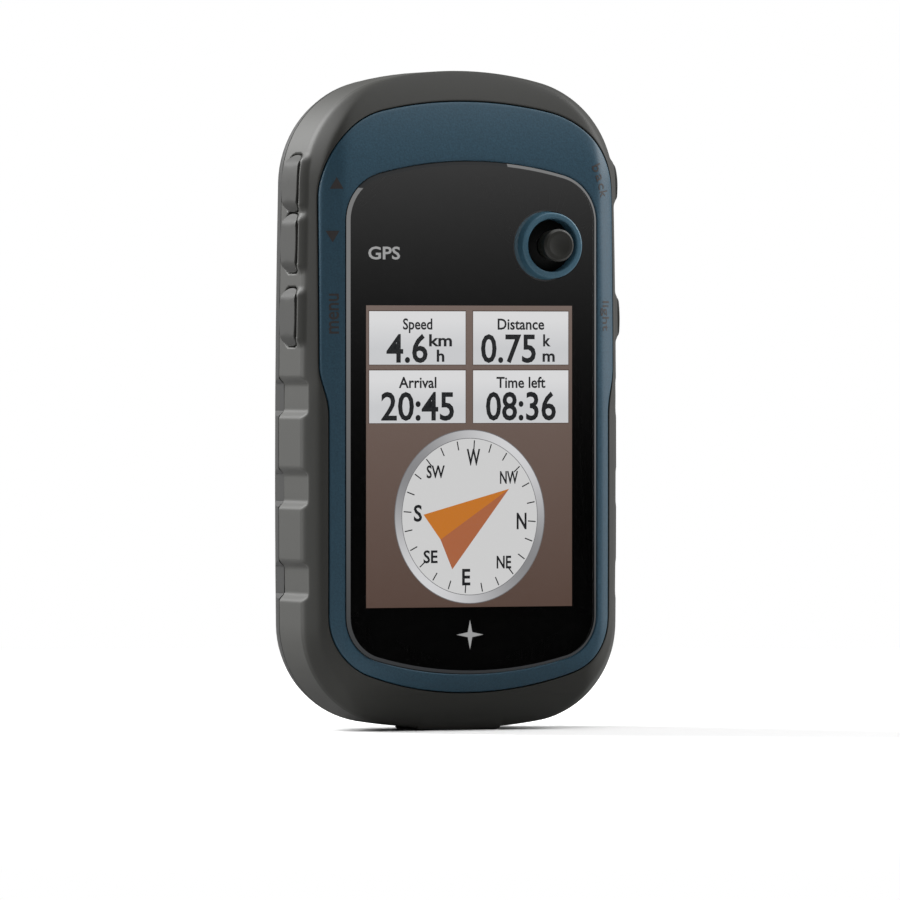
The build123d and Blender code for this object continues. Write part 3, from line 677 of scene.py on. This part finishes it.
GRIP_GAP = 0.06           # between the rubber and the bezel
GRIP_THICK = 2.0          # of its side wall
GRIP_FRONT = 1.2          # how far its front edge reaches back beside the bezel
GRIP_INNER = 1.5          # how far its inner face begins behind the rim
RIM_ROWS, WALL_ROWS = 20, 46
RIM_END = 0.24            # inset of the last even row of the rim
CORNER_INSETS = [0.18, 0.13, 0.09, 0.05, 0.02]


def soft_grip():
    """Rubber band: soft front rim, side walls with grip grooves, and recesses round the keys."""
    outer = resample(BODY, AROUND)
    away = outward_normals(outer)
    inner = inner_edge(BEZEL, outer)
    toward, length = directions(outer, inner)
    start = inner - toward * GRIP_GAP
    rows = [placed(start, front_depth(start) + GRIP_FRONT)]
    for a in LIP_STEPS:
        ring = start - toward * LIP * (1 - math.cos(a))
        rows.append(placed(ring, front_depth(ring) + LIP * (1 - math.sin(a))))
    reach = length - GRIP_GAP - LIP
    insets = [reach * share + RIM_END * (1 - share) for share in np.linspace(1, 0, RIM_ROWS)[1:]]
    for inset in insets + CORNER_INSETS:
        ring = outer + toward * inset
        inside_edge = np.broadcast_to(inset, (AROUND, 1))[:, 0]
        rows.append(cut_row(ring, away, front_depth(ring, inside_edge), inside_edge))
    first = front_depth(outer, np.zeros(AROUND))
    for share in np.linspace(0, 1, WALL_ROWS):
        rows.append(cut_row(outer, away, first + (PART_LINE - LIP - first) * share, 0.0))
    for a in LIP_STEPS[1:]:
        inset = LIP * (1 - math.cos(a))
        depth = np.full(AROUND, PART_LINE - LIP * (1 - math.sin(a)))
        rows.append(cut_row(outer - away * inset, away, depth, inset))
    rows.append(placed(outer - away * GRIP_THICK, PART_LINE))
    rows.append(placed(outer - away * GRIP_THICK, first + GRIP_INNER))
    wrap_mesh("grip_band", rows, RUBBER, "side_grip")


KEY_PROUD = {-1: 0.9, 1: 1.25}       # how far the pads stand out on the left and the right
KEY_POINTS = 160
KEY_CORNER = 2.3
KEY_ROUND = 0.28                     # rounding of the pad's edge
KEY_BASE = -1.0                      # inner end of the pad, from the side of the body
KEY_SLOPE = 1.05                     # how far its two ends fall
KEY_SLOPE_ENDS = (-0.35, 1.75)       # distance from an end over which it rises again
KEY_FLAT = 0.08                      # half the width left in the pad's middle
KEY_INSETS = [0.0, 0.015, 0.05, 0.11, 0.19, 0.3, 0.6, 1.0, 1.4, 1.9, 2.4]
CORNER_SPREAD = 1.9                  # share of the points that goes to the straight sides


def rounded_ring(half_a, half_b, inset):
    """Rounded rectangle shrunk by an inset, as points around its centre."""
    a, b = half_a - inset, half_b - inset
    radius = max(KEY_CORNER - inset, 0.05)
    angles = 2 * math.pi * (np.arange(KEY_POINTS) + 0.5) / KEY_POINTS
    ca, sa = np.cos(angles), np.sin(angles)
    corner_a = (a - radius) * np.clip(ca * CORNER_SPREAD, -1, 1)
    corner_b = (b - radius) * np.clip(sa * CORNER_SPREAD, -1, 1)
    return corner_a + radius * ca, corner_b + radius * sa


def wall_reach(z):
    """Half width of the body at each height."""
    right = BODY[BODY[:, 0] > 0]
    order = np.argsort(right[:, 1])
    return np.interp(z, right[order, 1], right[order, 0])


def key_rise(z, low, high, side, inset):
    """How far a pad stands out at each height: rounded at its edge, sloped at its two ends."""
    fall = KEY_ROUND - math.sqrt(KEY_ROUND**2 - (KEY_ROUND - min(inset, KEY_ROUND)) ** 2)
    slope = KEY_SLOPE * (1 - soft_step(np.minimum(z - low, high - z), *KEY_SLOPE_ENDS))
    drop = soft_max(np.full(KEY_POINTS, fall), slope, 0.2) - 0.05
    return KEY_PROUD[side] - np.maximum(drop, 0)


def soft_key(node):
    """Key pad with rounded edges and sloped ends, following the side of the body."""
    side, low, high, front, back = key_space(node)
    half_z, half_y = (high - low) / 2, (back - front) / 2

    def row(inset, rise=None):
        dz, dy = rounded_ring(half_z, half_y, inset)
        z = (low + high) / 2 + dz
        depth = (front + back) / 2 + dy
        if rise is None:
            rise = key_rise(z, low, high, side, inset)
        return np.column_stack([side * (wall_reach(z) + rise), LENS_Y + depth, z])

    rows = [row(0.0, KEY_BASE)]
    rows += [row(inset) for inset in KEY_INSETS + [half_y - KEY_FLAT]]
    faces = strips(len(rows), KEY_POINTS, False)
    last = (len(rows) - 1) * KEY_POINTS
    faces.append(tuple(range(KEY_POINTS)))
    faces.append(tuple(range(last, last + KEY_POINTS)))
    piece = mesh_piece(node + "_pad", np.vstack(rows), faces, KEY, node)
    smooth(piece)
    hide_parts(node)


soft_bezel()
soft_grip()
for key_node in KEY_NODES:
    soft_key(key_node)


# ---- picture on the display ---------------------------------------------
SCREEN_HALF = 17.65
SCREEN_LOW = 19.3
SCREEN_HIGH = 66.3
DIAL_X = 0.1
DIAL_Z = 33.4
DIAL_RX = 11.53
DIAL_RZ = 12.17
DIAL_TURN = math.radians(94)       # where north stands, clockwise from the top
RIM_WIDE, RIM_TALL = 12.74, 13.48  # half sizes of the dial's rim
FIELD_COLUMNS = ((-17.0, -0.62), (0.68, 17.0))
FIELD_ROWS = ((57.1, 65.4), (48.0, 56.2))
FIELD_EDGE, FIELD_EDGE_TOP = 0.1, 0.14
TITLE_HIGH, NUMBER_HIGH, UNIT_HIGH = 1.75, 4.5, 1.9
LETTER_REACH = 0.77                # where the compass letters stand, as a share of the dial
TICK_INNER, TICK_OUTER = 0.865, 0.98
TICK_HALF = 0.09
ON_SCREEN = "display_glass"


def dial_point(bearing, reach):
    """Point on the dial at a compass bearing; reach 1 is the rim."""
    angle = bearing + DIAL_TURN
    return DIAL_X + DIAL_RX * reach * math.sin(angle), DIAL_Z + DIAL_RZ * reach * math.cos(angle)


def level(lift):
    """Artwork that stands a little before the display panel."""
    return Artwork(LCD_Y - lift)


def show(artwork, name, colour):
    """Makes a piece of the picture that shines in one plain colour."""
    artwork.build("screen_" + name, glow("screen_" + name, linear(*colour)), ON_SCREEN)


def fields():
    """Brown background, and four light fields with dark edges."""
    back = level(0.03)
    back.outline(rectangle(-SCREEN_HALF, SCREEN_HALF, SCREEN_LOW, SCREEN_HIGH))
    brown = glow_fade("screen_brown", linear(84, 66, 58), linear(112, 97, 90), SCREEN_LOW, SCREEN_HIGH)
    back.build("screen_background", brown, ON_SCREEN)
    edges = level(0.045)
    for z0, z1 in FIELD_ROWS:
        row = level(0.06)
        for x0, x1 in FIELD_COLUMNS:
            row.outline(rectangle(x0, x1, z0, z1))
            x_range = (x0 - FIELD_EDGE, x1 + FIELD_EDGE)
            edges.outline(rectangle(*x_range, z0 - FIELD_EDGE, z1 + FIELD_EDGE_TOP))
        name = "screen_fields_%d" % z0
        light = glow_fade(name, linear(198, 199, 201), linear(214, 214, 215), z0 + 2.5, z1 - 1.5)
        row.build(name, light, ON_SCREEN)
    show(edges, "field_edges", (72, 58, 52))


def readings(ink):
    """Titles, numbers and units: text, x, z and width of each."""
    for text, x, z, width in (
        ("Speed", -8.8, 62.6, 5.0), ("Distance", 8.85, 62.6, 8.0),
        ("Arrival", -8.8, 53.5, 6.4), ("Time left", 8.85, 53.5, 8.4),
    ):
        ink.write(text, x, z, TITLE_HIGH, width, weight=0.02)
    for text, x, z, width in (
        ("4.6", -10.6, 57.5, 7.0), ("0.75", 6.7, 57.5, 9.4),
        ("20:45", -8.8, 48.5, 12.4), ("08:36", 8.85, 48.5, 12.0),
    ):
        ink.write(text, x, z, NUMBER_HIGH, width, weight=0.016)
    for text, x, z, width in (
        ("km", -4.9, 60.0, 3.9), ("h", -4.9, 57.6, 1.3),
        ("k", 13.3, 60.0, 1.3), ("m", 13.6, 57.6, 2.1),
    ):
        ink.write(text, x, z, UNIT_HIGH, width, weight=0.025)


def compass_points(ink):
    """Eight letters round the dial, and a tick every 15 degrees."""
    for text, bearing, height, width in (
        ("N", 0, 2.6, 1.7), ("E", 90, 2.6, 1.4), ("S", 180, 2.6, 1.4), ("W", 270, 2.6, 2.3),
        ("NE", 45, 2.0, 2.5), ("SE", 135, 2.0, 2.4), ("SW", 225, 2.0, 3.1), ("NW", 315, 2.0, 3.1),
    ):
        x, z = dial_point(math.radians(bearing), LETTER_REACH)
        ink.write(text, x, z - height / 2, height, width, weight=0.022)
    for step in range(24):
        bearing = math.radians(step * 15)
        outer = dial_point(bearing, TICK_OUTER)
        inner = dial_point(bearing, TICK_INNER)
        length = math.hypot(outer[0] - inner[0], outer[1] - inner[1])
        nx = (outer[1] - inner[1]) / length * TICK_HALF
        nz = -(outer[0] - inner[0]) / length * TICK_HALF
        ink.outline([
            (inner[0] - nx, inner[1] - nz), (outer[0] - nx, outer[1] - nz),
            (outer[0] + nx, outer[1] + nz), (inner[0] + nx, inner[1] + nz),
        ])


def dial():
    """Silver rim with a thin line at both edges, round a light dial."""
    face = oval(DIAL_X, DIAL_Z, DIAL_RX, DIAL_RZ)
    band = level(0.06)
    band.ring(oval(DIAL_X, DIAL_Z, RIM_WIDE, RIM_TALL), face)
    dark, light = linear(132, 132, 134), linear(206, 206, 208)
    silver = glow_turned("screen_silver", dark, light, DIAL_X, DIAL_Z, math.radians(55))
    band.build("screen_dial_rim", silver, ON_SCREEN)
    lines = level(0.07)
    lines.ring(
        oval(DIAL_X, DIAL_Z, RIM_WIDE + 0.1, RIM_TALL + 0.1),
        oval(DIAL_X, DIAL_Z, RIM_WIDE - 0.02, RIM_TALL - 0.02),
    )
    lines.ring(oval(DIAL_X, DIAL_Z, DIAL_RX + 0.1, DIAL_RZ + 0.1), face)
    show(lines, "dial_lines", (112, 112, 114))
    plate = level(0.065)
    plate.outline(face)
    show(plate, "dial", (202, 202, 202))


def arrow():
    """Pointer of two facets, one lighter than the other."""
    tip, left, low, notch = (6.8, 37.7), (-7.8, 33.75), (-2.9, 25.2), (-4.9, 29.85)
    for name, corners, colour in (
        ("arrow_light", [left, notch, tip], (188, 112, 38)),
        ("arrow_dark", [notch, low, tip], (163, 96, 62)),
    ):
        facet = level(0.1)
        facet.outline(corners)
        show(facet, name, colour)


fields()
lettering = level(0.09)
readings(lettering)
compass_points(lettering)
show(lettering, "lettering", (24, 26, 28))
dial()
arrow()


# ---- sloped edge of the lens, with painted highlight and painted shade ---
STICK_REACH = 6.0         # half size of the square round the stick's hole that keeps its own finish
SHADE_Z, SHADE_X = 84.5, 6.0  # above the one and left of the other the edge catches no light
EDGE_DEEP = 0.5           # how far the sloped edge reaches back
EDGE_SLOPES = (-0.95, -0.3)  # range of its faces' normals along Y
EDGE_LIFT = 0.015


def lens_chamfer(centre, normal):
    """Whether a face belongs to the sloped edge round the outside of the lens."""
    outside = abs(centre.x - STICK.x) > STICK_REACH or abs(centre.z - STICK.z) > STICK_REACH
    sloped = EDGE_SLOPES[0] < normal.y < EDGE_SLOPES[1]
    return centre.y < LENS_Y + EDGE_DEEP and sloped and outside


def lens_edge(name, shaded, material):
    """Painted light on the lens's sloped edge: painted shade on its stretch at the top, or a painted
    highlight on all the rest.
    """

    def keep(centre, normal):
        at_top = centre.z > SHADE_Z and centre.x < SHADE_X
        return lens_chamfer(centre, normal) and at_top == shaded

    skin(name, "display_lens", keep, EDGE_LIFT, material)


# painted highlight on most of the sloped edge, painted shade on its stretch at the top
lens_edge("lens_edge", False, PAINTED_EDGE_HIGHLIGHT)
lens_edge("lens_edge_top", True, PAINTED_EDGE_SHADE)


# ---- legends on the bezel and marks behind the lens ---------------------
LEGEND_LIFT = 0.03
LEGEND_FACET = 0.3        # longest edge that still follows the crowned bezel
TRIANGLE_HALF = 0.95      # half the width of a zoom triangle, and the height of its tip
TRIANGLE_FOOT = 0.85
STAR_Z, STAR_REACH, STAR_WAIST = 15.0, 2.3, 0.55


def symbols(ink):
    """Two triangles for the zoom keys, and the words for the other three."""
    for x, z, up in ((-22.75, 85.2, 1), (-23.35, 77.0, -1)):
        foot = z - TRIANGLE_FOOT * up
        corners = [(x - TRIANGLE_HALF, foot), (x + TRIANGLE_HALF, foot), (x, z + TRIANGLE_HALF * up)]
        ink.flat(corners[::up])
    ink.write("menu", -22.55, 65.0, 2.1, 6.2, turn=math.pi / 2)
    ink.write("light", 22.55, 64.7, 1.45, 4.7, turn=-math.pi / 2, weight=0.008)
    for letter, x, z, width, lean in (
        ("b", 20.8, 87.6, 1.1, 68), ("a", 21.35, 86.2, 1.1, 73),
        ("c", 21.75, 84.9, 0.95, 77), ("k", 22.05, 83.7, 1.0, 81),
    ):
        ink.write(letter, x, z, 1.75, width, turn=-math.radians(lean), weight=0.008)


def legends():
    """Printed key symbols and words, laid on the crowned surface of the bezel."""
    ink = Artwork(0.0)
    symbols(ink)
    piece = ink.build("key_legends", LEGEND, "bezel_paint")
    shape = bmesh.new()
    shape.from_mesh(piece.data)
    bmesh.ops.remove_doubles(shape, verts=shape.verts, dist=0.005 * MM)
    bmesh.ops.triangulate(shape, faces=shape.faces)
    for _ in range(4):
        long_edges = [e for e in shape.edges if e.calc_length() > LEGEND_FACET * MM]
        bmesh.ops.subdivide_edges(shape, edges=long_edges, cuts=1)
        bmesh.ops.triangulate(shape, faces=shape.faces)
    points = np.array([v.co for v in shape.verts]) / MM
    depth = front_depth(points[:, [0, 2]]) - LEGEND_LIFT
    for vertex, d in zip(shape.verts, depth):
        vertex.co.y = (LENS_Y + d) * MM
    bmesh.ops.dissolve_degenerate(shape, edges=shape.edges, dist=0.001 * MM)
    shape.to_mesh(piece.data)
    shape.free()
    piece.data.validate()


def lens_marks():
    """Generic marks printed behind the lens: three letters and a four pointed star."""
    marks = Artwork(LENS_Y + LENS_THICK - 0.02)
    marks.write("GPS", -14.6, 73.5, 2.0, 5.4, weight=0.02)
    star = []
    for i in range(8):
        angle = math.pi / 4 * i
        radius = STAR_WAIST if i % 2 else STAR_REACH
        star.append((radius * math.sin(angle), STAR_Z + radius * math.cos(angle)))
    marks.flat(star[::-1])
    marks.build("lens_marks", MARK_INK, "clear_lens")


legends()
lens_marks()


# ---- floor, light and camera --------------------------------------------
FLOOR_HALF = 40.0                    # metres
FLOOR_WHITE = 0.86
BOUNCE = 0.5                         # share of the floor's brightness that falls on the object
FLOOR_FADE = (0.12, 0.45)            # distances over which the floor turns plain white
WORLD_LIGHT = 0.2


def floor_material():
    """White that throws back less light onto the object than the camera sees."""
    material, tree, shader = blank("floor_white")
    shader.inputs["Roughness"].default_value = 0.9
    shader.inputs["Specular IOR Level"].default_value = 0.0
    seen = tree.nodes.new("ShaderNodeLightPath").outputs["Is Camera Ray"]
    near, full = FLOOR_WHITE * BOUNCE, FLOOR_WHITE
    tint(tree, shader.inputs["Base Color"], seen, (near, near, near, 1), (full, full, full, 1))
    white = tree.nodes.new("ShaderNodeEmission")
    tree.links.new(share_between(tree, seen, 0.0, 1.0, BOUNCE), white.inputs["Strength"])
    place = tree.nodes.new("ShaderNodeTexCoord")
    distance = tree.nodes.new("ShaderNodeVectorMath")
    distance.operation = "LENGTH"
    mix = tree.nodes.new("ShaderNodeMixShader")
    tree.links.new(place.outputs["Object"], distance.inputs[0])
    tree.links.new(share_between(tree, distance.outputs["Value"], *FLOOR_FADE), mix.inputs[0])
    tree.links.new(shader.outputs[0], mix.inputs[1])
    tree.links.new(white.outputs[0], mix.inputs[2])
    tree.links.new(mix.outputs[0], tree.nodes["Material Output"].inputs["Surface"])
    return material


def floor():
    """Large plain floor at the object's foot."""
    data = bpy.data.meshes.new("floor")
    corners = [(x * FLOOR_HALF, y * FLOOR_HALF, 0) for x, y in ((-1, -1), (1, -1), (1, 1), (-1, 1))]
    data.from_pydata(corners, [], [(0, 1, 2, 3)])
    data.materials.append(floor_material())
    plane = bpy.data.objects.new("floor", data)
    scene.collection.objects.link(plane)


def toward_viewer(azimuth, elevation):
    """Unit vector from the object to a viewer; azimuth 0 is in front, 90 to the right (degrees)."""
    a, e = math.radians(azimuth), math.radians(elevation)
    return Vector((math.sin(a) * math.cos(e), -math.cos(a) * math.cos(e), math.sin(e)))


def hang(thing, target, away, distance):
    """Puts a lamp or camera at a distance from its target, looking at it."""
    thing.location = target + away * distance
    thing.rotation_mode = "QUATERNION"
    thing.rotation_quaternion = away.to_track_quat("Z", "Y")
    scene.collection.objects.link(thing)


def softbox(name, azimuth, elevation, distance, width, height, power):
    """Area light aimed at the middle of the object; sizes in metres, power in watts."""
    data = bpy.data.lights.new(name, "AREA")
    data.shape = "RECTANGLE"
    data.size, data.size_y = width, height
    data.energy = power
    lamp = bpy.data.objects.new(name, data)
    hang(lamp, Vector((0, 0, 0.05)), toward_viewer(azimuth, elevation), distance)


def world_light():
    """White behind the object, softer grey for the light it gives."""
    world = bpy.data.worlds.new("studio")
    scene.world = world
    world.use_nodes = True
    tree = world.node_tree
    tree.nodes.clear()
    path = tree.nodes.new("ShaderNodeLightPath")
    mix = tree.nodes.new("ShaderNodeMixShader")
    out = tree.nodes.new("ShaderNodeOutputWorld")
    tree.links.new(path.outputs["Is Camera Ray"], mix.inputs[0])
    for socket, strength in ((1, WORLD_LIGHT), (2, 1.0)):
        sky = tree.nodes.new("ShaderNodeBackground")
        sky.inputs["Color"].default_value = (1, 1, 1, 1)
        sky.inputs["Strength"].default_value = strength
        tree.links.new(sky.outputs[0], mix.inputs[socket])
    tree.links.new(mix.outputs[0], out.inputs[0])


CAMERA_AZIMUTH, CAMERA_ELEVATION = -24.0, 0.5
CAMERA_DISTANCE = 1.6
WIDTH_SEEN = 0.1402                  # width of the picture at the object, in metres
AIM_HEIGHT = 0.0438
AIM_LEFT = 0.0036                    # the aim is this far left of the middle
SENSOR = 36.0


def camera():
    """Long lens at the front left, a little above the middle of the object."""
    turn = math.radians(CAMERA_AZIMUTH)
    right = Vector((math.cos(turn), math.sin(turn), 0))
    aim = Vector((0, LENS_Y * MM, AIM_HEIGHT)) - right * AIM_LEFT
    data = bpy.data.cameras.new("camera")
    data.sensor_width = SENSOR
    data.lens = SENSOR * CAMERA_DISTANCE / WIDTH_SEEN
    data.clip_start, data.clip_end = 0.01, 100
    eye = bpy.data.objects.new("camera", data)
    hang(eye, aim, toward_viewer(CAMERA_AZIMUTH, CAMERA_ELEVATION), CAMERA_DISTANCE)
    scene.camera = eye


floor()
world_light()
softbox("left_light", -136, 33, 0.9, 0.3, 0.6, 20.0)
softbox("right_light", 80, 28, 0.9, 0.4, 0.8, 9.5)
softbox("top_light", 35, 74, 1.0, 0.8, 0.8, 5.0)
camera()
scene.view_settings.view_transform = "Standard"
